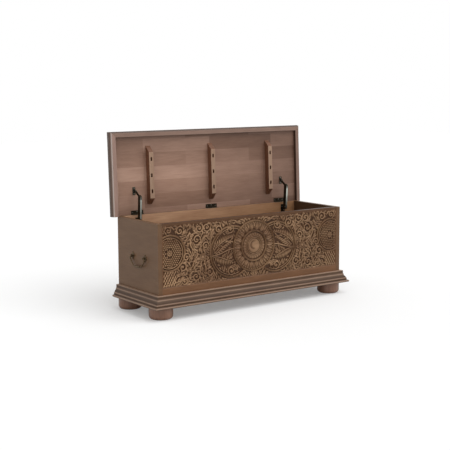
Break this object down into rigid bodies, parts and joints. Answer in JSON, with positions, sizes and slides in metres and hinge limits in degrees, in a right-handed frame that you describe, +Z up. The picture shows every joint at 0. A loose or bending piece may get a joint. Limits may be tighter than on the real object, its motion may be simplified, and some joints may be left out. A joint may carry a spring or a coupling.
{
  "type": "carved blanket chest",
  "caption": "Long wooden storage chest with a carved front, moulded plinth, bun feet, hinged lid on linked stays and a drop handle at each end.",
  "frame": {"origin": "on the floor under the middle of the outline with the lid open", "axes": "+X along the chest's length, +Y towards its back, +Z up"},
  "size_m": [1.281, 0.4844, 0.9304],
  "materials": {
    "carved_wood": "hand-carved hardwood under a satin brown lacquer, darker in the hollows",
    "box_wood": "satin brown lacquer",
    "plinth_wood": "satin brown lacquer",
    "lid_wood": "satin brown lacquer",
    "batten_wood": "satin brown lacquer",
    "foot_wood": "turned, satin lacquer",
    "inner_wood": "plain, unpolished",
    "hinge_metal": "blackened steel hinge leaves",
    "stay_steel": "dark plated steel straps, bright on the edges",
    "steel_screws": "dulled steel screws and rivets",
    "aged_iron": "forged iron with a worn brown-black patina"
  },
  "bodies": {
    "box": {"front_panel": "carved_wood", "back_panel": "box_wood", "left_end_panel": "box_wood", "right_end_panel": "box_wood", "bottom_panel": "inner_wood", "corner_dowels": "inner_wood", "corner_block_front_left": "inner_wood", "corner_block_front_right": "inner_wood", "corner_block_back_left": "inner_wood", "corner_block_back_right": "inner_wood", "cleat_front": "inner_wood", "cleat_back": "inner_wood", "cleat_left": "inner_wood", "cleat_right": "inner_wood", "plinth_front": "plinth_wood", "plinth_left": "plinth_wood", "plinth_right": "plinth_wood", "foot_front_left": "foot_wood", "foot_front_right": "foot_wood", "foot_back_left": "foot_wood", "foot_back_right": "foot_wood", "foot_bolts": "steel_screws", "hinge_left_box_leaf": "hinge_metal", "hinge_middle_box_leaf": "hinge_metal", "hinge_right_box_leaf": "hinge_metal", "hinge_pins": "hinge_metal", "hinge_box_screws": "hinge_metal", "stay_left_box_bracket": "stay_steel", "stay_right_box_bracket": "stay_steel", "stay_box_rivets": "steel_screws", "stay_box_screws": "steel_screws", "handle_left_plate_back": "aged_iron", "handle_left_plate_front": "aged_iron", "handle_right_plate_back": "aged_iron", "handle_right_plate_front": "aged_iron", "handle_screws": "aged_iron"},
    "lid": {"lid_board": "lid_wood", "lid_rim_front": "lid_wood", "lid_rim_left": "lid_wood", "lid_rim_right": "lid_wood", "batten_left": "batten_wood", "batten_middle": "batten_wood", "batten_right": "batten_wood", "batten_screws": "steel_screws", "hinge_left_lid_leaf": "hinge_metal", "hinge_middle_lid_leaf": "hinge_metal", "hinge_right_lid_leaf": "hinge_metal", "hinge_lid_screws": "hinge_metal", "stay_left_lid_bracket": "stay_steel", "stay_right_lid_bracket": "stay_steel", "stay_lid_rivets": "steel_screws", "stay_lid_screws": "steel_screws"},
    "left_stay_arm": {"stay_left_arm": "stay_steel", "stay_left_elbow_rivet": "steel_screws"},
    "left_stay_link": {"stay_left_link": "stay_steel"},
    "right_stay_arm": {"stay_right_arm": "stay_steel", "stay_right_elbow_rivet": "steel_screws"},
    "right_stay_link": {"stay_right_link": "stay_steel"},
    "left_bail": {"handle_left_bail": "aged_iron"},
    "right_bail": {"handle_right_bail": "aged_iron"}
  },
  "joints": [
    {"name": "lid_hinge", "type": "hinge", "parent": "box", "child": "lid", "pos_m": [0, 0.19875, 0.4898], "axis": [1, 0, 0], "range_deg": [0, 92.4]},
    {"name": "left_stay_arm_pivot", "type": "hinge", "parent": "box", "child": "left_stay_arm", "pos_m": [-0.492, 0.15375, 0.4598], "axis": [1, 0, 0], "range_deg": [0, 92.4]},
    {"name": "left_stay_elbow", "type": "hinge", "parent": "left_stay_arm", "child": "left_stay_link", "pos_m": [-0.492, 0.14699, 0.58519], "axis": [1, 0, 0], "range_deg": [-92.4, 0]},
    {"name": "left_bail_swing", "type": "hinge", "parent": "box", "child": "left_bail", "pos_m": [-0.612, -0.01575, 0.301], "axis": [0, 1, 0], "range_deg": [-8, 185]},
    {"name": "right_stay_arm_pivot", "type": "hinge", "parent": "box", "child": "right_stay_arm", "pos_m": [0.492, 0.15375, 0.4598], "axis": [1, 0, 0], "range_deg": [0, 92.4]},
    {"name": "right_stay_elbow", "type": "hinge", "parent": "right_stay_arm", "child": "right_stay_link", "pos_m": [0.492, 0.14699, 0.58519], "axis": [1, 0, 0], "range_deg": [-92.4, 0]},
    {"name": "right_bail_swing", "type": "hinge", "parent": "box", "child": "right_bail", "pos_m": [0.612, -0.01575, 0.301], "axis": [0, -1, 0], "range_deg": [-8, 185]}
  ],
  "couplings": [
    {"joint": "left_stay_arm_pivot", "follows": "lid_hinge", "ratio": 1},
    {"joint": "left_stay_elbow", "follows": "lid_hinge", "ratio": -1},
    {"joint": "right_stay_arm_pivot", "follows": "lid_hinge", "ratio": 1},
    {"joint": "right_stay_elbow", "follows": "lid_hinge", "ratio": -1}
  ]
}
